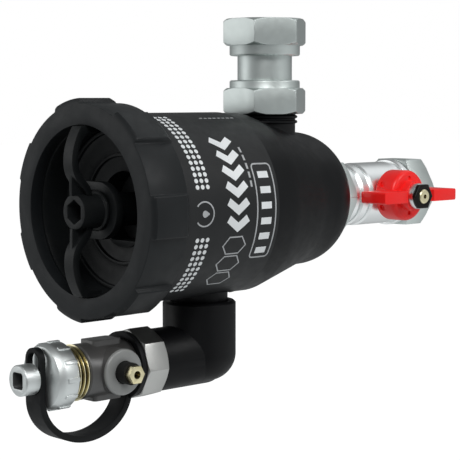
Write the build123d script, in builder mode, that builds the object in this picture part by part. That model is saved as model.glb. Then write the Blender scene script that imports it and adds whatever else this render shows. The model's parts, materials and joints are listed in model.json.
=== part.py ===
from build123d import *
import math
import os

# Magnetic system filter: a horizontal canister with a screw-on lobed ring at the front, a union
# inlet on top, a lever ball valve at the rear and a capped drain cock on an elbow below.
# Millimetres. +Z is up and +Y is the way the water leaves, along the canister's axis.
# The origin is the middle of the 22 mm pipe socket at the rear. Stations along the canister
# are measured from the inlet port's axis, negative towards the front.

# ---- driving dimensions ----
INLET_Y = -81.0             # the inlet port's axis, seen from the origin
DRAIN_AT = -35.8            # station of the drain spigot's axis
DRAIN_Z = -58.8             # height of the drain cock's axis
SPINDLE_AT = 63.0           # station of the ball valve's spindle
COCK_AT = -84.0             # station of the drain cock's spindle

BODY_R = 35.5
REAR_R = 27.4
MOUTH_R = 35.0
WALL = 2.6
MOUTH_AT = -84.0
SHOULDER_AT = -75.4
CONE_FRONT = -18.0
CONE_REAR = 10.0
DOME_AT = 14.7
DOME_R = 18.0
REAR_AT = 30.0

PIPE_R = 11.0               # 22 mm pipe
BOSS_R = 13.0               # G3/4 male thread, inside its nut
THREAD_R = 12.06            # G3/4 female thread, minor radius
RUN = 0.08                  # running clearance of a turning piece
BORE_R = 9.0
UNION_AF = 30.0
REAR_AF = 28.5
DRAIN_AF = 25.4
DRAIN_SIDES = 8             # the drain nut is octagonal

RING_REAR = -76.0
RING_FRONT = -93.3
RING_R = 39.5
LOBES = 7
LOBE_R = 41.5
LOBE_WIDTH = 15.0
LIP_R = 31.8

HUB_R = 6.4
HUB_FRONT = -96.8
MAGNETS = 4
MAGNET_LONG = 5.4
POLE_LONG = 1.2
BALL_R = 10.5

# ---- planes and axes ----
ALONG = Plane(origin=(0, INLET_Y, 0))
ALONG_DRAIN = Plane(origin=(0, INLET_Y, DRAIN_Z))
UPRIGHT = Plane(origin=(0, INLET_Y, 0), x_dir=(1, 0, 0), z_dir=(0, -1, 0))
UPRIGHT_DRAIN = Plane(origin=(0, INLET_Y + DRAIN_AT, 0), x_dir=(1, 0, 0), z_dir=(0, -1, 0))
SIDE = Plane(origin=(0, INLET_Y, 0), x_dir=(0, 1, 0), z_dir=(1, 0, 0))

CANISTER_AXIS = Axis((0, 0, 0), (0, 1, 0))
ARM_AXIS = Axis((0, 0, DRAIN_Z), (0, 1, 0))
INLET_AXIS = Axis((0, INLET_Y, 0), (0, 0, 1))
DRAIN_AXIS = Axis((0, INLET_Y + DRAIN_AT, 0), (0, 0, 1))


def station(at, z=0):
    """A plane across the canister at a station; it faces the front, with X and Z in it."""
    return Plane(origin=(0, INLET_Y + at, z), x_dir=(1, 0, 0), z_dir=(0, -1, 0))


def level(z, at=0):
    """A horizontal plane at a height, centred on a vertical axis at a station."""
    return Plane(origin=(0, INLET_Y + at, z))


def sideways(x, at, z=0):
    """A plane that faces +X at a distance from the axis, with Y and Z in it."""
    return Plane(origin=(x, INLET_Y + at, z), x_dir=(0, 1, 0), z_dir=(1, 0, 0))


def turn(outline, plane, axis, mode=Mode.ADD):
    """Turns a closed outline of (radius, length) points about an axis."""
    with BuildSketch(plane) as profile:
        with BuildLine():
            Polyline(*outline, close=True)
        make_face()
    revolve(profile.sketch, axis=axis, mode=mode)


def disc(plane, radius, length, mode=Mode.ADD):
    """A round bar that starts on a plane and runs along its normal."""
    with BuildSketch(plane) as profile:
        Circle(radius)
    extrude(profile.sketch, amount=length, mode=mode)


def tube(plane, outer, inner, length):
    """A round tube that starts on a plane and runs along its normal."""
    with BuildSketch(plane) as profile:
        Circle(outer)
        Circle(inner, mode=Mode.SUBTRACT)
    extrude(profile.sketch, amount=length)


def bar(plane, across_flats, length, turned, sides=6, mode=Mode.ADD):
    """A bar with flats, hexagonal unless told otherwise, with a corner at the given angle."""
    with BuildSketch(plane) as profile:
        RegularPolygon(across_flats / 2, sides, major_radius=False, rotation=turned)
    extrude(profile.sketch, amount=length, mode=mode)


def round_corners(plane, axis, across_flats, low, high, bevel, sides=6):
    """Turns down both ends of a bar with flats, as a lathe bevels a nut."""
    reach = across_flats / 2 / math.cos(math.pi / sides)
    near = reach - bevel
    outline = [(0, low), (near, low), (reach + 0.02, low + bevel * 0.6)]
    outline += [(reach + 0.02, high - bevel * 0.6), (near, high), (0, high)]
    turn(outline, plane, axis, mode=Mode.INTERSECT)


def save(builder, name):
    """Labels a finished piece and writes it."""
    builder.part.label = name
    export_step(builder.part, "parts/" + name + ".step")


os.makedirs("parts", exist_ok=True)

# ---- the canister and what is fixed to it ----
BOSS_TOP = 43.8
SPIGOT_R = 11.2
SPIGOT_END = -52.0
REAR_BOSS_END = 35.2
dome_turn = math.degrees(math.asin((REAR_AT - DOME_AT) / DOME_R))
cavity_turn = math.degrees(math.asin((REAR_AT - DOME_AT - 3) / (DOME_R - WALL)))
dome_centre = (REAR_R - DOME_R, DOME_AT)

with BuildPart() as canister:
    with BuildSketch(ALONG) as shell:
        with BuildLine():
            dome = CenterArc(dome_centre, DOME_R, 0, dome_turn)
            Polyline(
                dome @ 0,
                (REAR_R, CONE_REAR),
                (BODY_R, CONE_FRONT),
                (BODY_R, SHOULDER_AT),
                (MOUTH_R, SHOULDER_AT),
                (MOUTH_R, MOUTH_AT),
                (0, MOUTH_AT),
                (0, REAR_BOSS_END),
                (BOSS_R, REAR_BOSS_END),
                (BOSS_R, REAR_AT),
                dome @ 1,
            )
        make_face()
    revolve(shell.sketch, axis=CANISTER_AXIS)
    # Threaded inlet boss, with the crests that show under its nut.
    crest = BOSS_R + 0.25
    root = BOSS_R - 0.6
    boss = [(0, 20), (root, 20), (root, 31.0), (crest, 31.4), (crest, 32.1), (root, 32.6)]
    boss += [(root, 33.0), (crest, 33.4), (crest, 34.1), (root, 34.6), (BOSS_R, 35.0)]
    boss += [(BOSS_R, BOSS_TOP), (0, BOSS_TOP)]
    turn(boss, UPRIGHT, INLET_AXIS)
    # Drain spigot, with a groove for its O-ring and one for the snap ring.
    groove = SPIGOT_R - 1.5
    spigot = [(0, -25), (SPIGOT_R, -25), (SPIGOT_R, -40), (groove, -40), (groove, -42.2)]
    spigot += [(SPIGOT_R, -42.2), (SPIGOT_R, -46), (groove, -46), (groove, -47.4)]
    spigot += [(SPIGOT_R, -47.4), (SPIGOT_R, SPIGOT_END), (0, SPIGOT_END)]
    turn(spigot, UPRIGHT_DRAIN, DRAIN_AXIS)
    with BuildSketch(ALONG) as cavity:
        with BuildLine():
            inner = CenterArc(dome_centre, DOME_R - WALL, 0, cavity_turn)
            Polyline(
                inner @ 0,
                (REAR_R - WALL, CONE_REAR - 1),
                (BODY_R - WALL, CONE_FRONT - 1),
                (BODY_R - WALL, MOUTH_AT),
                (0, MOUTH_AT),
                (0, REAR_AT - 3),
                inner @ 1,
            )
        make_face()
    revolve(cavity.sketch, axis=CANISTER_AXIS, mode=Mode.SUBTRACT)
    disc(level(15), BORE_R, 40, mode=Mode.SUBTRACT)
    disc(level(-60, DRAIN_AT), 7.0, 40, mode=Mode.SUBTRACT)
    disc(station(50), BORE_R, 30, mode=Mode.SUBTRACT)
save(canister, "canister")

LABEL_FRONT = -74.0
LABEL_REAR = -27.0
with BuildPart() as label_wrap:
    tube(station(LABEL_REAR), BODY_R + 0.3, BODY_R + 0.02, LABEL_REAR - LABEL_FRONT)
    disc(level(-45, DRAIN_AT), SPIGOT_R + 0.8, 30, mode=Mode.SUBTRACT)
save(label_wrap, "label_wrap")

with BuildPart() as outlet_tube:
    tube(station(27.0), 18.0, 13.4, 2.8)
    tube(station(24.2), 15.0, 13.4, 44.2)
save(outlet_tube, "outlet_tube")

VANES = 8
with BuildPart() as swirl_guide:
    tube(station(-12.0), 16.6, 15.02, 7.0)
    blade = Plane(origin=(16.2, INLET_Y - 15.5, 0), x_dir=(1, 0, 0), z_dir=(0, 0, 1))
    with BuildSketch(blade.rotated((35, 0, 0))) as vane:
        Rectangle(12.4, 8.0, align=(Align.MIN, Align.CENTER))
    for count in range(VANES):
        swept = extrude(vane.sketch, amount=0.8, both=True, mode=Mode.PRIVATE)
        add(swept.rotate(CANISTER_AXIS, 360 / VANES * count))
save(swirl_guide, "swirl_guide")

with BuildPart() as drain_o_ring:
    tube(level(-42.1, DRAIN_AT), SPIGOT_R + 0.2, groove + 0.02, 2.0)
save(drain_o_ring, "drain_o_ring")

# ---- the front closure ----
with BuildPart() as lock_ring:
    with BuildSketch(station(RING_REAR)) as outline:
        with PolarLocations(LOBE_R, LOBES):
            Rectangle(20.0, LOBE_WIDTH)
        Circle(LOBE_R, mode=Mode.INTERSECT)
        Circle(RING_R)
        fillet(outline.vertices(), radius=0.7)
    extrude(outline.sketch, amount=RING_REAR - RING_FRONT)
    turn([(0, RING_FRONT), (RING_R - 0.6, RING_FRONT), (LOBE_R - 0.9, RING_FRONT + 0.4),
          (LOBE_R + 0.2, RING_FRONT + 1.4), (LOBE_R + 0.2, RING_REAR - 2.8),
          (RING_R + 0.5, RING_REAR), (0, RING_REAR)],
         ALONG, CANISTER_AXIS, mode=Mode.INTERSECT)
    turn([(0, RING_FRONT), (LIP_R, RING_FRONT), (LIP_R, -88.2), (MOUTH_R + 0.3, -88.2),
          (MOUTH_R + 0.3, RING_REAR), (0, RING_REAR)],
         ALONG, CANISTER_AXIS, mode=Mode.SUBTRACT)
save(lock_ring, "lock_ring")

FLOOR = -74.0
WELL = -64.0
WELL_R = 14.2
LID_BACK = -60.5
RIDGE = 1.3
with BuildPart() as lid:
    turn([(31.0, -88.0), (34.8, -88.0), (34.8, -84.8), (32.6, -84.8), (32.6, -73.5),
          (17.8, -70.0), (17.8, LID_BACK), (8.9, LID_BACK), (8.9, -54.0), (0, -54.0),
          (0, HUB_FRONT), (HUB_R, HUB_FRONT), (HUB_R, -87.4), (7.2, -87.0), (7.2, -86.0),
          (HUB_R, -85.8), (HUB_R, WELL), (WELL_R, WELL), (WELL_R, FLOOR + 1.0),
          (19.6, FLOOR), (19.8, FLOOR - RIDGE), (20.9, FLOOR - RIDGE - 0.1), (21.1, FLOOR - 0.2),
          (28.7, FLOOR - 2.3), (28.8, FLOOR - 2.3 - RIDGE), (29.9, FLOOR - 2.5 - RIDGE),
          (30.2, FLOOR - 2.6)],
         ALONG, CANISTER_AXIS)
    # The well is flat along its lower side.
    with BuildSketch(station(WELL + 0.1)) as sill:
        Circle(WELL_R + 0.2)
        with Locations((0, -11.8)):
            Rectangle(4 * WELL_R, 4 * WELL_R, align=(Align.CENTER, Align.MIN), mode=Mode.SUBTRACT)
    extrude(sill.sketch, amount=WELL - FLOOR)
    # Two arched grips run from the hub to the wall.
    with BuildSketch(SIDE) as grip:
        with BuildLine():
            front = Spline((-95.2, 31.2), (-97.9, 26.0), (-99.4, 19.5), (-98.2, 13.0), (-94.6, 8.6),
                           (-92.6, 6.0))
            back = Spline((-90.4, 6.0), (-92.0, 10.0), (-95.6, 14.2), (-96.6, 19.5), (-95.2, 25.0),
                          (-92.0, 28.8))
            Polyline(front @ 1, back @ 0)
            Polyline(back @ 1, (-86.5, 29.2), (-86.5, 31.4), (-93.0, 31.4), front @ 0)
        make_face()
    arch = extrude(grip.sketch, amount=2.7, both=True)
    mirror(arch, about=Plane.XY)
    with BuildSketch(SIDE) as rib:
        Polygon((-98.4, 16.0), (-98.2, 6.0), (-92.6, 6.0), (-94.6, 9.6), (-97.0, 14.0), align=None)
    blade_rib = extrude(rib.sketch, amount=0.75, both=True)
    mirror(blade_rib, about=Plane.XY)
    bar(station(HUB_FRONT + 13), 8.0, 14, 90, mode=Mode.SUBTRACT)
    disc(station(-53.0), 3.0, 6.0, mode=Mode.SUBTRACT)
save(lid, "lid")

with BuildPart() as hub_clip:
    with BuildSketch(station(-82.2)) as horseshoe:
        Circle(10.7)
        Rectangle(8.6, 21.4, align=(Align.MAX, Align.CENTER))
        fillet(horseshoe.vertices().group_by(Axis.X)[0], radius=1.4)
        Circle(HUB_R + 0.05, mode=Mode.SUBTRACT)
        Rectangle(12, 15.0, align=(Align.MAX, Align.CENTER), mode=Mode.SUBTRACT)
    extrude(horseshoe.sketch, amount=3.4)
    with BuildSketch(station(-85.6)) as step:
        Circle(8.6)
        Circle(HUB_R + 0.05, mode=Mode.SUBTRACT)
        Rectangle(12, 20.0, align=(Align.MAX, Align.CENTER), mode=Mode.SUBTRACT)
    extrude(step.sketch, amount=-3.4)
save(hub_clip, "hub_clip")

with BuildPart() as lid_seal:
    tube(station(MOUTH_AT), 34.7, 33.0, 0.8)
save(lid_seal, "lid_seal")

# ---- the magnet rod that hangs from the lid ----
SLEEVE_END = -24.0
STACK_FRONT = -53.9
with BuildPart() as magnet_sleeve:
    turn([(9.0, LID_BACK), (10.0, LID_BACK), (10.0, SLEEVE_END - 2), (8.0, SLEEVE_END),
          (0, SLEEVE_END), (0, SLEEVE_END - 1.2), (9.0, SLEEVE_END - 1.2)],
         ALONG, CANISTER_AXIS)
save(magnet_sleeve, "magnet_sleeve")

pitch = MAGNET_LONG + POLE_LONG
with BuildPart() as magnets:
    for count in range(MAGNETS):
        rear = STACK_FRONT + POLE_LONG + count * pitch + MAGNET_LONG
        tube(station(rear), 8.7, 3.05, MAGNET_LONG - 0.02)
save(magnets, "magnets")

with BuildPart() as pole_discs:
    for count in range(MAGNETS + 1):
        tube(station(STACK_FRONT + count * pitch + POLE_LONG - 0.02), 8.8, 3.05, POLE_LONG - 0.04)
save(pole_discs, "pole_discs")

stack_end = STACK_FRONT + MAGNETS * pitch + POLE_LONG
with BuildPart() as magnet_rod:
    turn([(0, -58.8), (2.95, -58.8), (2.95, stack_end), (5.0, stack_end), (5.0, stack_end + 0.5),
          (0, stack_end + 0.5)], ALONG, CANISTER_AXIS)
save(magnet_rod, "magnet_rod")

# ---- the union on top ----
LOWER_LIP = 47.0
UPPER_LIP = 59.8
FLANGE_R = 12.8
with BuildPart() as inlet_lower_washer:
    tube(level(BOSS_TOP), 12.7, 9.2, 1.6)
save(inlet_lower_washer, "inlet_lower_washer")

with BuildPart() as inlet_tailpiece:
    turn([(9.4, 45.4), (FLANGE_R, 45.4), (FLANGE_R, 46.8), (PIPE_R, 46.8), (PIPE_R, 60.0),
          (10.4, 60.0), (10.4, 61.4), (PIPE_R, 61.4), (PIPE_R, 62.2), (9.4, 62.2)],
         UPRIGHT, INLET_AXIS)
save(inlet_tailpiece, "inlet_tailpiece")

with BuildPart() as inlet_snap_ring:
    tube(level(60.02), 12.3, 10.42, 1.36)
save(inlet_snap_ring, "inlet_snap_ring")

with BuildPart() as inlet_upper_washer:
    tube(level(62.2), 11.7, 9.2, 1.6)
save(inlet_upper_washer, "inlet_upper_washer")

with BuildPart() as inlet_lower_nut:
    bar(level(34.9), UNION_AF, 10.4, 2)
    round_corners(UPRIGHT, INLET_AXIS, UNION_AF, 34.9, 45.3, 2.0)
    disc(level(45.2), 14.2, 3.2)
    chamfer(inlet_lower_nut.faces().sort_by(Axis.Z)[-1].edges(), length=0.5)
    disc(level(30), BOSS_R + RUN, LOWER_LIP - 30, mode=Mode.SUBTRACT)
    disc(level(40), PIPE_R + RUN, 20, mode=Mode.SUBTRACT)
save(inlet_lower_nut, "inlet_lower_nut")

with BuildPart() as inlet_upper_nut:
    bar(level(62.3), UNION_AF, 10.7, 2)
    round_corners(UPRIGHT, INLET_AXIS, UNION_AF, 62.3, 73.0, 2.0)
    disc(level(58.2), 14.2, 4.2)
    chamfer(inlet_upper_nut.faces().sort_by(Axis.Z)[0].edges(), length=0.5)
    disc(level(50), PIPE_R + RUN, 20, mode=Mode.SUBTRACT)
    disc(level(UPPER_LIP), 12.6, 4.6, mode=Mode.SUBTRACT)
    disc(level(64.0), THREAD_R, 12, mode=Mode.SUBTRACT)
save(inlet_upper_nut, "inlet_upper_nut")

# ---- the ball valve at the rear ----
SEAT_NEAR = 4.8
SEAT_FAR = 8.6
CAVITY_R = 11.7
WAY_R = 7.3                 # the water's way through the valve
SOCKET_R = PIPE_R + 0.1
with BuildPart() as outlet_washer:
    tube(station(REAR_BOSS_END + 1.4), 12.7, 8.6, 1.4)
save(outlet_washer, "outlet_washer")

with BuildPart() as outlet_union_nut:
    bar(station(39.5), REAR_AF, 9.0, 0)
    round_corners(ALONG, CANISTER_AXIS, REAR_AF, 30.5, 39.5, 1.8)
    disc(station(38.0), BOSS_R + RUN, 10, mode=Mode.SUBTRACT)
    disc(station(41.0), PIPE_R + 0.6, 12, mode=Mode.SUBTRACT)
save(outlet_union_nut, "outlet_union_nut")

with BuildPart() as valve_body:
    turn([(WAY_R, 36.6), (12.7, 36.6), (12.7, 37.9), (PIPE_R, 37.9), (PIPE_R, 40.0), (12.2, 40.0),
          (12.8, 40.6), (12.8, 43.6), (12.2, 44.2), (11.8, 44.2), (11.8, 45.2), (12.6, 45.2),
          (13.2, 45.9), (13.2, 49.2), (12.6, 49.9), (12.3, 49.9), (12.3, 50.8), (12.8, 50.8),
          (13.4, 51.8), (13.4, 72.8), (WAY_R, 72.8)],
         ALONG, CANISTER_AXIS)
    disc(sideways(8.0, SPINDLE_AT), 7.4, 9.0)
    disc(station(72.8), CAVITY_R, 72.8 - SPINDLE_AT + SEAT_FAR, mode=Mode.SUBTRACT)
    disc(station(72.8), WAY_R, 72.8 - 36.6, mode=Mode.SUBTRACT)
    disc(sideways(5.0, SPINDLE_AT), 3.0 + RUN, 20, mode=Mode.SUBTRACT)
save(valve_body, "valve_body")

with BuildPart() as valve_end:
    turn([(WAY_R, 71.7), (CAVITY_R - 0.02, 71.7), (CAVITY_R - 0.02, 72.8), (13.4, 72.8),
          (13.4, 74.2), (14.0, 74.2), (14.4, 74.6), (14.4, 76.9), (14.0, 77.3), (13.0, 77.3),
          (13.0, 86.2), (SOCKET_R, 86.2), (SOCKET_R, 75.8), (WAY_R, 75.8)],
         ALONG, CANISTER_AXIS)
save(valve_end, "valve_end")

with BuildPart() as ball_seats:
    for side in (-1, 1):
        near = SPINDLE_AT + side * SEAT_NEAR
        far = SPINDLE_AT + side * SEAT_FAR
        turn([(WAY_R, near), (CAVITY_R - 0.05, near), (CAVITY_R - 0.05, far), (WAY_R, far)],
             ALONG, CANISTER_AXIS)
    with Locations((0, INLET_Y + SPINDLE_AT, 0)):
        Sphere(BALL_R + RUN, mode=Mode.SUBTRACT)
save(ball_seats, "ball_seats")

with BuildPart() as valve_ball:
    with Locations((0, INLET_Y + SPINDLE_AT, 0)):
        Sphere(BALL_R)
    disc(station(SPINDLE_AT + 12), 7.0, 24, mode=Mode.SUBTRACT)
    with BuildSketch(sideways(8.4, SPINDLE_AT)) as slot:
        Rectangle(2.6, 12)
    extrude(slot.sketch, amount=6, mode=Mode.SUBTRACT)
save(valve_ball, "valve_ball")

SPINDLE_TIP = 32.2
with BuildPart() as valve_spindle:
    disc(sideways(10.6, SPINDLE_AT), 3.0, SPINDLE_TIP - 10.6)
    chamfer(valve_spindle.faces().sort_by(Axis.X)[-1].edges(), length=0.4)
    with BuildSketch(sideways(8.5, SPINDLE_AT)) as tongue:
        Rectangle(2.5, 5.0)
    extrude(tongue.sketch, amount=2.6)
    disc(sideways(SPINDLE_TIP - 1.6, SPINDLE_AT), 0.9, 3, mode=Mode.SUBTRACT)
save(valve_spindle, "valve_spindle")

with BuildPart() as gland_nut:
    bar(sideways(17.0, SPINDLE_AT), 12.0, 2.6, 0)
    disc(sideways(16.0, SPINDLE_AT), 3.0 + RUN, 8, mode=Mode.SUBTRACT)
save(gland_nut, "gland_nut")

HUB_BACK = 13.9
HUB_FACE = 23.5
HANDLE_R = 10.7
SKIRT_DEEP = 20.0
SEAT_FACE = 27.0
COLLAR_FACE = 29.8
WING_BACK = 17.0
WING_FACE = 30.1
WING_SPAN = 23.0
WING_THICK = 4.9
with BuildPart() as valve_handle:
    disc(sideways(HUB_BACK, SPINDLE_AT), HANDLE_R, HUB_FACE - HUB_BACK)
    fillet(valve_handle.edges().group_by(Axis.X)[-1], radius=2.0)
    with BuildSketch(sideways(WING_BACK, SPINDLE_AT)) as wings:
        RectangleRounded(2 * WING_SPAN, WING_THICK, radius=0.9)
    extrude(wings.sketch, amount=WING_FACE - WING_BACK)
    disc(sideways(HUB_FACE, SPINDLE_AT), 8.5, 10, mode=Mode.SUBTRACT)
    disc(sideways(HUB_FACE - 1, SPINDLE_AT), 6.3, SEAT_FACE - HUB_FACE + 1)
    disc(sideways(HUB_BACK - 1, SPINDLE_AT), 8.3, SKIRT_DEEP - HUB_BACK + 1, mode=Mode.SUBTRACT)
    disc(sideways(SKIRT_DEEP - 1, SPINDLE_AT), 3.02, 10, mode=Mode.SUBTRACT)
    # Moulded dimples round the hub's skirt.
    for side in (-1, 1):
        for height in (-5.0, 5.0):
            dimple = Plane(origin=(16.7, INLET_Y + SPINDLE_AT + side * 12, height),
                           z_dir=(0, -side, 0), x_dir=(1, 0, 0))
            disc(dimple, 1.3, 3.4, mode=Mode.SUBTRACT)
        disc(sideways(HUB_FACE - 0.7, SPINDLE_AT, side * 7.4), 0.9, 2, mode=Mode.SUBTRACT)
save(valve_handle, "valve_handle")

with BuildPart() as handle_washer:
    tube(sideways(SEAT_FACE + 0.02, SPINDLE_AT), 5.4, 3.05, COLLAR_FACE - SEAT_FACE - 0.02)
save(handle_washer, "handle_washer")

with BuildPart() as handle_nut:
    bar(sideways(COLLAR_FACE + 0.02, SPINDLE_AT), 10.0, 1.8, 0)
    disc(sideways(SEAT_FACE, SPINDLE_AT), 3.04, 8, mode=Mode.SUBTRACT)
save(handle_nut, "handle_nut")

with BuildPart() as compression_nut:
    bar(station(90.0), REAR_AF, 12.0, 0)
    round_corners(ALONG, CANISTER_AXIS, REAR_AF, 78.0, 90.0, 1.8)
    disc(station(88.4), BOSS_R + RUN, 12, mode=Mode.SUBTRACT)
    disc(station(92.0), 11.3, 12, mode=Mode.SUBTRACT)
save(compression_nut, "compression_nut")

with BuildPart() as olive:
    turn([(11.4, 86.3), (11.9, 86.3), (12.6, 87.0), (12.6, 87.5), (11.9, 88.2), (11.4, 88.2)],
         ALONG, CANISTER_AXIS)
save(olive, "olive")

# ---- the drain elbow ----
ELBOW_TOP = -37.7
ELBOW_R = 14.4
ELBOW_BASE = -69.4
ELBOW_ROUND = 11.0
ARM_R = 12.1
ARM_BACK = -28.8
ARM_END = -62.3
SPIGOT_TIP = -69.2
with BuildPart() as drain_elbow:
    disc(station(ARM_BACK, DRAIN_Z), ARM_R, ARM_BACK - ARM_END)
    fillet(drain_elbow.edges().group_by(Axis.Y)[-1], radius=6.0)
    with BuildSketch(UPRIGHT_DRAIN) as post:
        with BuildLine():
            knee = CenterArc((ELBOW_R - ELBOW_ROUND, ELBOW_BASE + ELBOW_ROUND), ELBOW_ROUND, -90, 90)
            Polyline(
                knee @ 1,
                (ELBOW_R, ELBOW_TOP - 0.8),
                (ELBOW_R - 0.8, ELBOW_TOP),
                (0, ELBOW_TOP),
                (0, ELBOW_BASE),
                knee @ 0,
            )
        make_face()
    revolve(post.sketch, axis=DRAIN_AXIS)
    with BuildSketch(station(ARM_END, DRAIN_Z)) as threaded:
        Circle(10.0)
    extrude(threaded.sketch, amount=ARM_END - SPIGOT_TIP)
    turn([(0, ELBOW_TOP), (SPIGOT_R + 0.3, ELBOW_TOP), (SPIGOT_R + 0.3, SPIGOT_END - 0.4),
          (0, SPIGOT_END - 0.4)], UPRIGHT_DRAIN, DRAIN_AXIS, mode=Mode.SUBTRACT)
    disc(level(DRAIN_Z - 4, DRAIN_AT), 6.0, 14, mode=Mode.SUBTRACT)
    disc(station(DRAIN_AT, DRAIN_Z), 6.0, 40, mode=Mode.SUBTRACT)
    turn([(SPIGOT_R, -47.5), (SPIGOT_R + 1.1, -47.5), (SPIGOT_R + 1.1, -45.9),
          (SPIGOT_R, -45.9)], UPRIGHT_DRAIN, DRAIN_AXIS, mode=Mode.SUBTRACT)
save(drain_elbow, "drain_elbow")

with BuildPart() as elbow_snap_ring:
    turn([(groove + 0.1, -47.3), (SPIGOT_R + 0.9, -47.3), (SPIGOT_R + 0.9, -46.1),
          (groove + 0.1, -46.1)], UPRIGHT_DRAIN, DRAIN_AXIS)
save(elbow_snap_ring, "elbow_snap_ring")

with BuildPart() as drain_washer:
    tube(station(SPIGOT_TIP, DRAIN_Z), 9.6, 6.2, 1.2)
save(drain_washer, "drain_washer")

NUT_REAR = -62.6
NUT_FRONT = -72.9
with BuildPart() as drain_nut:
    bar(station(NUT_REAR, DRAIN_Z), DRAIN_AF, NUT_REAR - NUT_FRONT, 40, DRAIN_SIDES)
    round_corners(ALONG_DRAIN, ARM_AXIS, DRAIN_AF, NUT_FRONT, NUT_REAR, 1.1, DRAIN_SIDES)
    disc(station(NUT_REAR + 1, DRAIN_Z), 10.0 + RUN, NUT_REAR + 1 + 71.5, mode=Mode.SUBTRACT)
    disc(station(NUT_REAR, DRAIN_Z), 8.2 + RUN, 20, mode=Mode.SUBTRACT)
save(drain_nut, "drain_nut")

# ---- the drain cock ----
COCK_R = 10.3
COVER_R = 8.6
COCK_FRONT = -97.2
PLUG_R = 6.5
DISC_FACE = 12.8
with BuildPart() as cock_body:
    turn([(0, -70.4), (9.6, -70.4), (9.6, -71.4), (8.2, -71.4), (8.2, -73.4), (COCK_R, -73.4),
          (COCK_R, COCK_FRONT + 0.6), (COCK_R - 0.6, COCK_FRONT), (0, COCK_FRONT)],
         ALONG_DRAIN, ARM_AXIS)
    disc(sideways(0, COCK_AT, DRAIN_Z), COVER_R, 11.2)
    with BuildSketch(level(DRAIN_Z + 9.0, COCK_AT - 1.0)) as pad:
        RectangleRounded(9.0, 13.0, radius=1.5)
    extrude(pad.sketch, amount=2.2)
    with BuildSketch(level(DRAIN_Z - 9.0, COCK_AT - 1.0)) as foot:
        RectangleRounded(9.0, 13.0, radius=1.5)
    extrude(foot.sketch, amount=-2.2)
    disc(station(-70, DRAIN_Z), 6.0, 40, mode=Mode.SUBTRACT)
    disc(station(COCK_FRONT + 5.5, DRAIN_Z), 8.6, 10, mode=Mode.SUBTRACT)
    disc(sideways(-8.4, COCK_AT, DRAIN_Z), PLUG_R + RUN, 30, mode=Mode.SUBTRACT)
save(cock_body, "cock_body")

with BuildPart() as cock_plug:
    disc(sideways(-8.3, COCK_AT, DRAIN_Z), PLUG_R, 18.9)
    disc(sideways(10.0, COCK_AT, DRAIN_Z), 2.6, 8.0)
    bar(sideways(17.5, COCK_AT, DRAIN_Z), 6.2, 2.6, 0)
    disc(level(DRAIN_Z - 10, COCK_AT), 4.5, 20, mode=Mode.SUBTRACT)
    disc(sideways(17.0, COCK_AT, DRAIN_Z), 1.5, 5, mode=Mode.SUBTRACT)
save(cock_plug, "cock_plug")

with BuildPart() as cock_cover:
    tube(sideways(11.22, COCK_AT, DRAIN_Z), COVER_R, 4.2, DISC_FACE - 11.22)
    fillet(cock_cover.edges().group_by(Axis.X)[-1].sort_by(SortBy.LENGTH)[-1], radius=0.9)
save(cock_cover, "cock_cover")

with BuildPart() as cock_gland:
    tube(sideways(11.22, COCK_AT, DRAIN_Z), 4.1, 2.6 + RUN, 6.1)
save(cock_gland, "cock_gland")

CREST_R = 10.48             # G1/2 thread
ROOT_R = 8.8
TIP_R = 10.2
SPOUT_END = -109.5
CAP_REAR = -104.2
CREST_PITCH = 1.9
with BuildPart() as hose_spout:
    spout = [(6.0, COCK_FRONT + 5.4), (8.55, COCK_FRONT + 5.4), (8.55, COCK_FRONT)]
    spout += [(ROOT_R, COCK_FRONT)]
    for count in range(3):
        start = COCK_FRONT - 0.5 - CREST_PITCH * count
        spout += [(ROOT_R, start), (CREST_R, start - 0.5), (CREST_R, start - 0.8)]
        spout += [(ROOT_R, start - 1.3)]
    spout += [(ROOT_R, CAP_REAR - 0.2), (TIP_R, CAP_REAR - 0.5), (TIP_R, SPOUT_END)]
    spout += [(6.0, SPOUT_END)]
    turn(spout, ALONG_DRAIN, ARM_AXIS)
save(hose_spout, "hose_spout")

with BuildPart() as cap_washer:
    tube(station(SPOUT_END - 0.02, DRAIN_Z), 9.9, 4.0, 0.7)
save(cap_washer, "cap_washer")

CAP_R = 12.3
CAP_FACE = -112.7
NECK_R = 3.0
KNOB_R = 5.7
NIBS = 12
with BuildPart() as drain_cap:
    turn([(0, CAP_FACE), (9.6, CAP_FACE), (11.2, CAP_FACE + 0.5), (CAP_R - 0.3, CAP_FACE + 2.2),
          (CAP_R, CAP_FACE + 3.4), (CAP_R, CAP_REAR), (TIP_R + 0.3, CAP_REAR),
          (TIP_R + 0.3, SPOUT_END - 0.75), (0, SPOUT_END - 0.75)],
         ALONG_DRAIN, ARM_AXIS)
    turn([(0, CAP_FACE + 1), (NECK_R, CAP_FACE + 1), (NECK_R, -116.2), (KNOB_R - 0.3, -116.2),
          (KNOB_R, -116.5), (KNOB_R, -122.0), (KNOB_R - 0.5, -122.5), (0, -122.5)],
         ALONG_DRAIN, ARM_AXIS)
    with BuildSketch(station(CAP_REAR, DRAIN_Z)) as nib:
        with PolarLocations(CAP_R, NIBS):
            Rectangle(0.9, 1.5)
    extrude(nib.sketch, amount=5.0)
    with BuildSketch(station(-117.5, DRAIN_Z)) as socket:
        RectangleRounded(6.0, 6.0, radius=1.2)
    extrude(socket.sketch, amount=6, mode=Mode.SUBTRACT)
save(drain_cap, "drain_cap")

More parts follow.
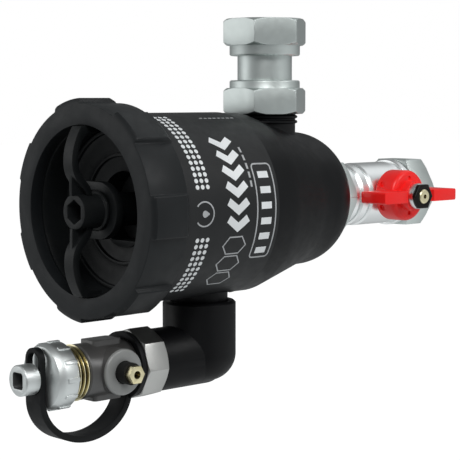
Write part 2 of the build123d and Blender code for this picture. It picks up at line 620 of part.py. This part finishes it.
# ---- the tether between the cap and the cock ----
STRAP_AT = -94.75
STRAP_Z = DRAIN_Z - 8.2
STRAP_REACH = 18.75
STRAP_DROP = 15.0
STRAP_THICK = 2.4
STRAP_WIDE = 9.0
EYELET_Z = DRAIN_Z + 1.4
with BuildPart() as cap_strap:
    tube(station(-73.5, DRAIN_Z), 12.8, COCK_R + 0.15, 1.8)
    with BuildSketch(SIDE) as loop:
        with Locations((STRAP_AT, STRAP_Z)):
            Ellipse(STRAP_REACH + STRAP_THICK, STRAP_DROP + STRAP_THICK)
            Ellipse(STRAP_REACH, STRAP_DROP, mode=Mode.SUBTRACT)
            Rectangle(60, 30, align=(Align.CENTER, Align.MIN), mode=Mode.SUBTRACT)
    extrude(loop.sketch, amount=STRAP_WIDE / 2, both=True)
    with BuildSketch(station(STRAP_AT - STRAP_REACH, 0)) as eyelet:
        with Locations((0, EYELET_Z)):
            SlotCenterToCenter(10.6, STRAP_WIDE, rotation=90)
        with Locations((0, STRAP_Z)):
            Rectangle(STRAP_WIDE, EYELET_Z - STRAP_Z, align=(Align.CENTER, Align.MIN))
        with Locations((0, DRAIN_Z + 3.1)):
            SlotCenterToCenter(6.2, 6.6, rotation=90, mode=Mode.SUBTRACT)
    extrude(eyelet.sketch, amount=STRAP_THICK)
    disc(station(-60, DRAIN_Z), COCK_R + 0.15, 50, mode=Mode.SUBTRACT)
save(cap_strap, "cap_strap")
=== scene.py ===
import json
import math

import bmesh
import bpy
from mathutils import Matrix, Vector


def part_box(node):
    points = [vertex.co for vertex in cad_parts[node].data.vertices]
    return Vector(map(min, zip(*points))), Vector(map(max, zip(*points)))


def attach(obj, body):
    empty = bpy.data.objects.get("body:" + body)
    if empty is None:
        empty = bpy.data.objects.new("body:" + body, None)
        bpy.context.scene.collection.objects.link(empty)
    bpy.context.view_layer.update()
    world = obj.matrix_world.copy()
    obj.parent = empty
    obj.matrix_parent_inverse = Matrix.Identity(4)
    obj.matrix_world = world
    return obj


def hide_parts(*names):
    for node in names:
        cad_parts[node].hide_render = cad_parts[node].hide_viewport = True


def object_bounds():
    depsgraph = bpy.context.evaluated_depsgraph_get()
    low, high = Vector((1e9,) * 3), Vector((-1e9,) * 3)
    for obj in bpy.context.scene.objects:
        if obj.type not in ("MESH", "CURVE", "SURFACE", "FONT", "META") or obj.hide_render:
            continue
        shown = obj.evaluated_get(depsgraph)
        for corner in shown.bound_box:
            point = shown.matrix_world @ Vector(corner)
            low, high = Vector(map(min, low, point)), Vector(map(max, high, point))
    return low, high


# Magnetic system filter. Lengths are in millimetres here and become metres in each mesh.
# The CAD frame's +Y runs along the canister and out of the rear pipe socket, and +Z is up.
MM = 0.001

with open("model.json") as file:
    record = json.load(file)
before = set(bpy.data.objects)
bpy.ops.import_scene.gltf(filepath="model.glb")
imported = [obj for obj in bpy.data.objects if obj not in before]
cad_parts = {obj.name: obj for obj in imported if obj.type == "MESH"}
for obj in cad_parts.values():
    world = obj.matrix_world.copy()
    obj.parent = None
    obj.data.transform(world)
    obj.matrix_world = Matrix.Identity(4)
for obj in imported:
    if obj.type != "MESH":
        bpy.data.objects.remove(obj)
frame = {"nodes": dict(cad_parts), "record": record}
cad_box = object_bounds()


def middle(node):
    """The middle of a CAD node's box, in millimetres."""
    low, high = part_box(node)
    return (low + high) * (0.5 / MM)


INLET_Y = middle("inlet_tailpiece").y
DRAIN_Z = middle("drain_washer").z
SPINDLE_Y = middle("handle_nut").y
COCK_Y = middle("cock_gland").y
LABEL_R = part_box("label_wrap")[1].x / MM
KNOB_FACE = cad_box[0][1] / MM              # the drain cap's knob is the foremost point

# ---- camera ----
CAMERA_AT = (0.43577, -0.50757, 0.04217)    # metres
CAMERA_AIM = (-0.7276, 0.6802, -0.0891)
SENSOR = 36.0
LENS = 117.39
FARTHEST = 50.0                             # metres

camera_data = bpy.data.cameras.new("camera")
camera_data.sensor_width = SENSOR
camera_data.lens = LENS
camera_data.clip_end = FARTHEST
camera = bpy.data.objects.new("camera", camera_data)
camera.location = CAMERA_AT
camera.rotation_euler = Vector(CAMERA_AIM).to_track_quat("-Z", "Y").to_euler()
bpy.context.scene.collection.objects.link(camera)
bpy.context.scene.camera = camera
bpy.context.scene.view_settings.view_transform = "Standard"

# ---- nodes ----
# The sizes of the noise, in cells to the metre.
CLOUDS = 45
GLOSS_PATCHES = 260
STAINS = 70
POLISH_MARKS = 400


def new_material(name):
    """A material with an empty tree but for its Principled shader."""
    made = bpy.data.materials.new(name)
    made.use_nodes = True
    tree = made.node_tree
    tree.nodes.clear()
    out = tree.nodes.new("ShaderNodeOutputMaterial")
    shader = tree.nodes.new("ShaderNodeBsdfPrincipled")
    tree.links.new(shader.outputs["BSDF"], out.inputs["Surface"])
    return made, tree, shader


def node(tree, kind, settings=None, **inputs):
    """Adds a node, sets its properties and its inputs: a value, or an output to link.
    An input goes by its name, with _ for a space, or by i and its number."""
    made = tree.nodes.new(kind)
    for name, value in (settings or {}).items():
        setattr(made, name, value)
    for key, value in inputs.items():
        socket = made.inputs[int(key[1:])] if key[1:].isdigit() else made.inputs[key.replace("_", " ")]
        if isinstance(value, bpy.types.NodeSocket):
            tree.links.new(value, socket)
        else:
            socket.default_value = value
    return made


def noise(tree, scale, detail=3.0):
    """Noise over the object's own coordinates, in cells to the metre."""
    where = node(tree, "ShaderNodeTexCoord").outputs["Object"]
    made = node(tree, "ShaderNodeTexNoise", Vector=where, Scale=scale, Detail=detail, Roughness=0.55)
    return made.outputs["Fac"]


def spread(tree, value, low, high, start=0.3, end=0.7):
    """Maps what lies between start and end to a range. Noise seldom leaves 0.3 to 0.7."""
    made = node(tree, "ShaderNodeMapRange", Value=value, From_Min=start, From_Max=end,
                To_Min=low, To_Max=high)
    return made.outputs["Result"]


def tint(tree, value, dark, light):
    """Mixes two colours by a noise value."""
    made = node(tree, "ShaderNodeMix", {"data_type": "RGBA"}, i0=value)
    ends = {"A": (*dark, 1), "B": (*light, 1)}
    for socket in made.inputs:
        if socket.type == "RGBA":
            socket.default_value = ends[socket.name]
    return [socket for socket in made.outputs if socket.type == "RGBA"][0]


def bump(tree, shader, height, strength, distance):
    """Tilts the shading by a noise value."""
    made = node(tree, "ShaderNodeBump", Height=height, Strength=strength, Distance=distance)
    tree.links.new(made.outputs["Normal"], shader.inputs["Normal"])


def plastic(name, dark, light, rough, grain, depth, level=0.5, coat=0.0):
    """Moulded plastic: a fine spark-eroded grain, and large soft changes of tone and gloss."""
    made, tree, shader = new_material(name)
    cloudy = spread(tree, noise(tree, CLOUDS, 2), 0, 1)
    tree.links.new(tint(tree, cloudy, dark, light), shader.inputs["Base Color"])
    tree.links.new(spread(tree, noise(tree, GLOSS_PATCHES, 4), rough - 0.05, rough + 0.05),
                   shader.inputs["Roughness"])
    bump(tree, shader, noise(tree, grain, 2), 0.35, depth)
    shader.inputs["Specular IOR Level"].default_value = level
    shader.inputs["Coat Weight"].default_value = coat
    shader.inputs["Coat Roughness"].default_value = 0.15
    return made


def about_arm(tree):
    """The distance from the drain arm's axis, in metres."""
    where = node(tree, "ShaderNodeTexCoord").outputs["Object"]
    across = node(tree, "ShaderNodeMapping", Vector=where, Location=(0, 0, -DRAIN_Z * MM),
                  Scale=(1, 0, 1)).outputs["Vector"]
    return node(tree, "ShaderNodeVectorMath", {"operation": "LENGTH"}, i0=across).outputs["Value"]


def metal(name, dark, light, rough, grain, depth, vary=0.025, groove=None):
    """Plated or turned metal: faint stains, and fine marks in the finish. A groove is the pair of
    radii about the drain arm's axis between which a thread goes from painted shade in its roots to
    full colour at its crests."""
    made, tree, shader = new_material(name)
    cloudy = spread(tree, noise(tree, STAINS, 3), 0, 1)
    colour = tint(tree, cloudy, dark, light)
    if groove:
        root, crest = groove
        # Painted shade: the colour is scaled down towards the thread's roots, darker between the
        # crests.
        groove_shade = spread(tree, about_arm(tree), 0.03, 1, root * MM, crest * MM)
        colour = node(tree, "ShaderNodeVectorMath", {"operation": "SCALE"}, i0=colour,
                      Scale=groove_shade).outputs["Vector"]
    tree.links.new(colour, shader.inputs["Base Color"])
    tree.links.new(spread(tree, noise(tree, POLISH_MARKS, 4), rough - vary, rough + vary),
                   shader.inputs["Roughness"])
    bump(tree, shader, noise(tree, grain, 3), 0.3, depth)
    shader.inputs["Metallic"].default_value = 1.0
    return made


# Each plastic: two tones, roughness, grain, grain depth in metres, shine and coat.
CHARCOAL = plastic("charcoal_plastic", (0.0034, 0.0036, 0.0042), (0.0052, 0.0054, 0.0061), 0.42,
                   2600, 0.00004, 0.15)
RING = plastic("ring_plastic", (0.0075, 0.0088, 0.0098), (0.0105, 0.012, 0.0132), 0.46, 2200,
               0.00005, 0.22)
LID = plastic("lid_plastic", (0.0055, 0.0064, 0.0068), (0.008, 0.009, 0.0096), 0.42, 2400, 0.00004,
              0.2)
LABEL = plastic("label_film", (0.0105, 0.0112, 0.012), (0.0135, 0.0142, 0.015), 0.5, 3200, 0.00002,
                0.28)
INNER = plastic("inner_plastic", (0.03, 0.03, 0.032), (0.045, 0.045, 0.048), 0.5, 2200, 0.00004)
RED = plastic("red_plastic", (0.90, 0.010, 0.010), (0.95, 0.016, 0.014), 0.34, 1500, 0.00003, 0.3,
              0.08)
GREY = plastic("cock_plastic", (0.042, 0.041, 0.04), (0.066, 0.064, 0.062), 0.36, 2000, 0.00005, 0.7)
PALE_GREY = plastic("cock_cover_plastic", (0.21, 0.215, 0.21), (0.25, 0.255, 0.25), 0.36, 2000,
                    0.00004, 0.7)
STRAP = plastic("strap_rubber", (0.005, 0.0054, 0.0058), (0.0075, 0.008, 0.0086), 0.5, 3000,
                0.00004, 0.16)
SEAL = plastic("seal_rubber", (0.006, 0.006, 0.006), (0.012, 0.012, 0.012), 0.6, 3000, 0.00003, 0.2)
PTFE = plastic("seat_ptfe", (0.75, 0.75, 0.72), (0.85, 0.85, 0.83), 0.4, 2500, 0.00002)
INK = plastic("label_ink", (0.66, 0.68, 0.69), (0.78, 0.80, 0.81), 0.45, 3500, 0.00002)
PALE_INK = plastic("pale_label_ink", (0.34, 0.35, 0.36), (0.44, 0.45, 0.46), 0.45, 3500, 0.00002)

# Each metal: two tones, roughness, grain, grain depth in metres and how far the roughness varies.
NICKEL = metal("nickel_plate", (0.61, 0.66, 0.645), (0.64, 0.69, 0.675), 0.43, 1800, 0.000004)
CHROME = metal("chrome_plate", (0.91, 0.93, 0.93), (0.95, 0.97, 0.97), 0.32, 900, 0.0000005, 0.01)
DULL = metal("dull_nickel", (0.46, 0.46, 0.445), (0.50, 0.50, 0.485), 0.36, 1800, 0.000004)
SATIN = metal("satin_nickel", (0.68, 0.71, 0.705), (0.73, 0.76, 0.755), 0.45, 1800, 0.000006)
# The thread brass carries painted shade: it darkens towards the roots inside the groove radii.
THREAD_BRASS = metal("thread_brass", (0.84, 0.75, 0.46), (0.93, 0.86, 0.60), 0.30, 2200, 0.000006,
                     groove=(9.0, 10.3))
BRASS = metal("brass", (0.84, 0.75, 0.46), (0.93, 0.86, 0.60), 0.30, 2200, 0.000006)
ZINC = metal("zinc_steel", (0.66, 0.67, 0.68), (0.78, 0.79, 0.79), 0.30, 1800, 0.00002)
BLACK_STEEL = metal("black_steel", (0.015, 0.015, 0.015), (0.03, 0.028, 0.026), 0.36, 1800, 0.00003)
# Dark metals that paint the shade inside the knob's socket and the stems' holes.
SOCKET_SHADE_ZINC = metal("socket_zinc_painted_shade", (0.10, 0.105, 0.105), (0.15, 0.155, 0.155), 0.6, 1800, 0.00001)
SOCKET_SHADE_BRASS = metal("socket_brass_painted_shade", (0.09, 0.07, 0.03), (0.14, 0.11, 0.05), 0.5, 1800, 0.00001)
MAGNET = metal("magnet_plate", (0.50, 0.50, 0.51), (0.64, 0.64, 0.66), 0.2, 900, 0.00001)

# ---- pieces ----
SHARP = math.radians(32)                # an edge that turns by more than this is sharp
FLAT = math.radians(0.05)               # faces that turn by less than this become one
WELD = 2e-6                             # metres between points that become one


def link(name, data):
    """Puts new data into the scene as an object."""
    made = bpy.data.objects.new(name, data)
    bpy.context.scene.collection.objects.link(made)
    return made


def finish(piece, body, material, replaces=()):
    """Gives a piece its material, shading and body."""
    piece.data.materials.clear()
    piece.data.materials.append(material)
    piece.data.shade_smooth()
    piece.data.set_sharp_from_angle(angle=SHARP)
    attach(piece, body)
    if replaces:
        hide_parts(*replaces)
    return piece


def eased(piece, width):
    """Rounds a piece's sharp edges by a small real radius."""
    bevel = piece.modifiers.new("edges", "BEVEL")
    bevel.width = width * MM
    bevel.segments = 2
    bevel.limit_method = "ANGLE"
    bevel.angle_limit = SHARP
    bevel.use_clamp_overlap = True
    bpy.context.view_layer.update()
    made = bpy.data.meshes.new_from_object(piece.evaluated_get(bpy.context.evaluated_depsgraph_get()))
    piece.modifiers.clear()
    old = piece.data
    piece.data = made
    bpy.data.meshes.remove(old)


def dressed(name, cad, body, material, width):
    """A finer copy of a CAD node, with eased edges, that stands for it."""
    copy = link(name, frame["nodes"][cad].data.copy())
    shape = bmesh.new()
    shape.from_mesh(copy.data)
    bmesh.ops.remove_doubles(shape, verts=shape.verts, dist=WELD)
    bmesh.ops.dissolve_limit(shape, angle_limit=FLAT, verts=shape.verts, edges=shape.edges)
    normals = copy.data.attributes.get("custom_normal")
    if normals:
        copy.data.attributes.remove(normals)
    shape.to_mesh(copy.data)
    shape.free()
    eased(copy, width)
    return finish(copy, body, material, (cad,))


def shade_recess(piece, material, low, high):
    """Paints shade into a recess with a second, darker material: every face with its middle between
    two corners.
    """
    piece.data.materials.append(material)
    for face in piece.data.polygons:
        if all(a < c / MM < b for a, c, b in zip(low, face.center, high)):
            face.material_index = 1


slots = {s["node"]: s["material_slot"] for s in frame["record"]["subparts"]}
owner = {n: b for b, nodes in frame["record"]["behaviour"]["bodies"].items() for n in nodes}
slot_looks = {"black_plastic": CHARCOAL, "ring_plastic": RING, "lid_plastic": LID,
              "inner_plastic": INNER, "label_film": LABEL, "nickel_plate": NICKEL,
              "chrome_plate": CHROME, "red_plastic": RED, "brass": BRASS, "cock_plastic": GREY,
              "strap_rubber": STRAP, "seal_rubber": SEAL, "zinc_steel": ZINC,
              "black_steel": BLACK_STEEL, "magnet_plate": MAGNET, "seat_ptfe": PTFE}
own_looks = {"drain_nut": DULL, "drain_cap": SATIN, "cock_cover": PALE_GREY,
             "drain_elbow": CHARCOAL, "hose_spout": THREAD_BRASS}
looks = {cad: own_looks.get(cad, slot_looks[slot]) for cad, slot in slots.items()}
for cad, piece in frame["nodes"].items():
    piece.data.materials.clear()
    piece.data.materials.append(looks[cad])

# Each dressed node and how wide its edges are eased.
eases = {"canister": 0.5, "lock_ring": 0.9, "lid": 0.35, "hub_clip": 0.4, "inlet_lower_nut": 0.8,
         "inlet_upper_nut": 0.8, "outlet_union_nut": 0.3, "compression_nut": 0.3,
         "valve_handle": 0.35, "handle_nut": 0.3, "valve_spindle": 0.15,
         "gland_nut": 0.2, "drain_elbow": 0.5, "drain_nut": 0.4, "cock_body": 0.4, "cock_cover": 0.25,
         "cock_plug": 0.15, "drain_cap": 0.3, "cap_strap": 0.5, "handle_washer": 0.3}
shapes = {}
for cad, width in eases.items():
    shapes[cad] = dressed(cad + "_shape", cad, owner[cad], looks[cad], width)

# Painted shade: the knob's square socket and the holes in the two brass stems get a dark material
# inside, standing in for the shade in them.
SOCKET = 3.1                            # half the socket's width, and a little
PLUG_HOLE = 1.45
SPINDLE_HOLE = 0.85
shade_recess(shapes["drain_cap"], SOCKET_SHADE_ZINC, (-SOCKET, KNOB_FACE + 0.4, DRAIN_Z - SOCKET),
      (SOCKET, KNOB_FACE + 5.6, DRAIN_Z + SOCKET))
shade_recess(shapes["cock_plug"], SOCKET_SHADE_BRASS, (16.9, COCK_Y - PLUG_HOLE, DRAIN_Z - PLUG_HOLE),
      (20.0, COCK_Y + PLUG_HOLE, DRAIN_Z + PLUG_HOLE))
shade_recess(shapes["valve_spindle"], SOCKET_SHADE_BRASS, (30.5, SPINDLE_Y - SPINDLE_HOLE, -SPINDLE_HOLE),
      (32.1, SPINDLE_Y + SPINDLE_HOLE, SPINDLE_HOLE))

# ---- printed marks on the label ----
# A place on the label is its station along the canister from the inlet's axis, and its angle up
# from +X in degrees.
FACE = 0.05                             # how far the ink stands off the label
SUNK = -0.08                            # how far its back lies inside
STEP = 1.5                              # the longest straight run of a stroke
MITRE = 0.4                             # keeps sharp corners from growing long points
DEGREE = math.degrees(1 / LABEL_R)      # degrees to a millimetre round the label


def on_label(station, degrees, lift):
    """A point on the label, or off it by a lift."""
    turn = math.radians(degrees)
    radius = LABEL_R + lift
    return Vector((radius * math.cos(turn), INLET_Y + station, radius * math.sin(turn))) * MM


def around(station, degrees, radius, turn):
    """The place at a turn about another place, at a radius in millimetres."""
    return station + radius * math.cos(turn), degrees + radius * DEGREE * math.sin(turn)


def printed(name, material, outlines=(), strips=()):
    """Thin closed plates on the label. An outline is a ring of places and fills a small shape.
    A strip is a list of crossing pairs of places, and wraps round the canister."""
    shape = bmesh.new()
    for outline in outlines:
        top = [shape.verts.new(on_label(*place, FACE)) for place in outline]
        base = [shape.verts.new(on_label(*place, SUNK)) for place in outline]
        shape.faces.new(top)
        shape.faces.new(base[::-1])
        for i, low in enumerate(base):
            j = (i + 1) % len(base)
            shape.faces.new((top[i], low, base[j], top[j]))
    for closed, pairs in strips:
        rings = []
        for left, right in pairs:
            corners = ((left, FACE), (right, FACE), (right, SUNK), (left, SUNK))
            rings.append([shape.verts.new(on_label(*place, lift)) for place, lift in corners])
        spans = list(zip(rings, rings[1:]))
        if closed:
            spans.append((rings[-1], rings[0]))
        else:
            shape.faces.new(rings[0][::-1])
            shape.faces.new(rings[-1])
        for one, other in spans:
            for i in range(4):
                j = (i + 1) % 4
                shape.faces.new((one[i], one[j], other[j], other[i]))
    bmesh.ops.recalc_face_normals(shape, faces=shape.faces)
    data = bpy.data.meshes.new(name)
    shape.to_mesh(data)
    shape.free()
    finish(link(name, data), "canister", material)


def stroke(path, width, closed=False):
    """A strip of even width along a path of places, cut into short steps."""
    flat = [Vector((station, degrees / DEGREE)) for station, degrees in path]
    if closed:
        flat.append(flat[0])
    points = []
    for one, other in zip(flat, flat[1:]):
        steps = max(1, math.ceil((other - one).length / STEP))
        points += [one.lerp(other, k / steps) for k in range(steps)]
    if not closed:
        points.append(flat[-1])
    pairs = []
    count = len(points)
    for i, point in enumerate(points):
        before = points[(i - 1) % count] if closed or i else point
        after = points[(i + 1) % count] if closed or i < count - 1 else point
        came = (point - before).normalized() if before != point else (after - point).normalized()
        goes = (after - point).normalized() if after != point else came
        mitre = (came + goes).normalized()
        side = Vector((-mitre.y, mitre.x)) * (width / 2) / max(MITRE, mitre.dot(goes))
        pairs.append([(end.x, end.y * DEGREE) for end in (point + side, point - side)])
    return closed, pairs


# Three columns of dots, in a run above the drop and one below it.
DOT_COLUMNS = (-67.5, -65.0, -62.5)
DOT_RUNS = ((16, 15.15, 3.8), (11, -16.1, -3.95))      # how many, the first one's angle, the step
DOT_R = 0.88
DOT_SIDES = 14
dots = []
for column in DOT_COLUMNS:
    for count, first, step in DOT_RUNS:
        for row in range(count):
            dots.append([around(column, first + step * row, DOT_R, 2 * math.pi * k / DOT_SIDES)
                         for k in range(DOT_SIDES)])
printed("label_dots", INK, dots)

# A water drop in an open ring.
ICON_AT = -65.0
ICON_UP = -0.6
ICON_R = 4.5
ICON_ARC = 140                          # degrees of ring to each side of +Y
ICON_LINE = 0.55
DROP_R = 1.35
DROP_SHIFT = 0.3
ring_arc = []
for k in range(25):
    turn = math.radians(-ICON_ARC + 2 * ICON_ARC * k / 24)
    ring_arc.append(around(ICON_AT, ICON_UP, ICON_R, turn))
drop = []
for k in range(18):
    turn = 2 * math.pi * k / 18
    tip = max(0.0, math.cos(turn))
    drop.append((ICON_AT + DROP_SHIFT + DROP_R * (1.0 + 0.55 * tip ** 3) * math.cos(turn),
                 ICON_UP + DROP_R * DEGREE * math.sin(turn) * (1.0 - 0.35 * tip)))
printed("label_drop", PALE_INK, [drop], [stroke(ring_arc, ICON_LINE)])

# Six bold flow arrows down the label.
ARROW_TOP = 46.5
ARROW_STEP = 10.2
ARROW_DEEP = 5.4
ARROW_LINE = 3.0
arrows = []
for k in range(6):
    top = ARROW_TOP - ARROW_STEP * k
    arrows.append(stroke([(-53.0, top), (-48.15, top - ARROW_DEEP), (-43.3, top)], ARROW_LINE))
printed("label_arrows", INK, strips=arrows)

# Three open lozenges below them.
LOZENGE_TOP = -15.8
LOZENGE_STEP = 12.7
LOZENGE_HIGH = 10.9
LOZENGE_LINE = 0.5
lozenges = []
for k in range(3):
    high = LOZENGE_TOP - LOZENGE_STEP * k
    low = high - LOZENGE_HIGH
    mid = (high + low) / 2
    lozenges.append(stroke([(-54.0, mid), (-51.4, high), (-45.2, high), (-42.6, mid), (-45.2, low),
                            (-51.4, low)], LOZENGE_LINE, True))
printed("label_lozenges", PALE_INK, strips=lozenges)

# Five fine rules beside the arrows.
RULE_AT = -40.6
RULE_STEP = 5.6
RULE_LINE = 0.9
rules = [stroke([(RULE_AT, 40.0 - RULE_STEP * k), (RULE_AT, 36.2 - RULE_STEP * k)], RULE_LINE)
         for k in range(5)]
printed("label_rules", PALE_INK, strips=rules)

# A row of six bars in a frame with round corners.
FRAME_LEFT, FRAME_RIGHT = -38.5, -29.0
FRAME_TOP, FRAME_BASE = 28.0, -31.0
FRAME_LINE = 0.6
CORNER = 1.6
BAR_TOP = 21.0
BAR_STEP = 9.4
BAR_LINE = 2.6
left, right = FRAME_LEFT + CORNER, FRAME_RIGHT - CORNER
top, base = FRAME_TOP - CORNER * DEGREE, FRAME_BASE + CORNER * DEGREE
frame_path = []
for at, up, first in ((left, top, 90), (left, base, 180), (right, base, 270), (right, top, 0)):
    for k in range(5):
        frame_path.append(around(at, up, CORNER, math.radians(first + 90 * k / 4)))
printed("label_frame", PALE_INK, strips=[stroke(frame_path, FRAME_LINE, True)])
bars = [stroke([(-36.4, BAR_TOP - BAR_STEP * k), (-31.1, BAR_TOP - BAR_STEP * k)], BAR_LINE)
        for k in range(6)]
printed("label_bars", INK, strips=bars)

# Eight ticks along the top.
TICK_UP = 70.0
TICK_STEP = 2.3
TICK_LINE = 0.6
ticks = [stroke([(-46.6 + TICK_STEP * k, TICK_UP), (-45.2 + TICK_STEP * k, TICK_UP)], TICK_LINE)
         for k in range(8)]
printed("label_ticks", PALE_INK, strips=ticks)

# ---- studio ----
scene = bpy.context.scene
world = bpy.data.worlds.new("studio")
scene.world = world
world.use_nodes = True
sky = world.node_tree
sky.nodes.clear()


def lobe(towards, start, strength):
    """A soft patch of light in one direction, which fades out at the cosine start."""
    where = node(sky, "ShaderNodeTexCoord").outputs["Generated"]
    along = node(sky, "ShaderNodeVectorMath", {"operation": "DOT_PRODUCT"}, i0=where,
                 i1=Vector(towards).normalized()).outputs["Value"]
    made = node(sky, "ShaderNodeMapRange", {"interpolation_type": "SMOOTHSTEP"}, Value=along,
                From_Min=start, From_Max=1.0, To_Min=0.0, To_Max=strength)
    return made.outputs["Result"]


EVEN_LIGHT = 0.22
LOBES = (((-0.68, -0.73, 0.05), 0.45, 0.24), ((0.75, 0.66, -0.25), 0.58, 0.38),
         ((0.0, 0.0, -1.0), 0.0, 0.55), ((0.0, 0.6, 0.8), 0.85, 0.75))
total = EVEN_LIGHT
for towards, start, strength in LOBES:
    patch = lobe(towards, start, strength)
    total = node(sky, "ShaderNodeMath", i0=total, i1=patch).outputs["Value"]
lit = node(sky, "ShaderNodeBackground", Color=(0.96, 0.99, 1.0, 1), Strength=total)
seen = node(sky, "ShaderNodeBackground", Color=(1, 1, 1, 1), Strength=1.0)
ray = node(sky, "ShaderNodeLightPath").outputs["Is Camera Ray"]
mixed = node(sky, "ShaderNodeMixShader", i0=ray, i1=lit.outputs["Background"],
             i2=seen.outputs["Background"])
node(sky, "ShaderNodeOutputWorld", Surface=mixed.outputs["Shader"])


def softbox(name, place, target, size, power):
    """A round white lamp, in metres and watts."""
    data = bpy.data.lights.new(name, "AREA")
    data.shape = "DISK"
    data.size = size
    data.energy = power
    lamp = link(name, data)
    lamp.location = place
    aim = Vector(target) - Vector(place)
    lamp.rotation_euler = aim.to_track_quat("-Z", "Y").to_euler()


softbox("key", (0.9, -0.9, 1.1), (0, -0.08, 0), 0.8, 14)
softbox("fill", (-1.1, -1.2, 0.35), (0, -0.12, 0), 1.1, 3)
softbox("side", (1.0, 0.35, 0.75), (0.02, -0.03, 0), 0.5, 4)

# A white floor a little below the part, which neither lights it nor shows in it. In metres.
REACH = 4.0
GAP = 0.05
level = cad_box[0][2] - GAP
floor_data = bpy.data.meshes.new("floor")
floor_data.from_pydata([(-REACH, -REACH, level), (REACH, -REACH, level), (REACH, REACH, level),
                        (-REACH, REACH, level)], [], [(0, 1, 2, 3)])
floor = link("floor", floor_data)
floor_look, floor_tree, floor_shader = new_material("pale_floor")
floor_tone = tint(floor_tree, noise(floor_tree, 3, 2), (0.14, 0.14, 0.14), (0.16, 0.16, 0.16))
floor_tree.links.new(floor_tone, floor_shader.inputs["Base Color"])
floor_shader.inputs["Roughness"].default_value = 0.9
floor_shader.inputs["Specular IOR Level"].default_value = 0.1
floor_shader.inputs["Emission Color"].default_value = (1, 1, 1, 1)
floor_shader.inputs["Emission Strength"].default_value = 0.95
floor_data.materials.append(floor_look)
floor.visible_glossy = False
floor.visible_diffuse = False
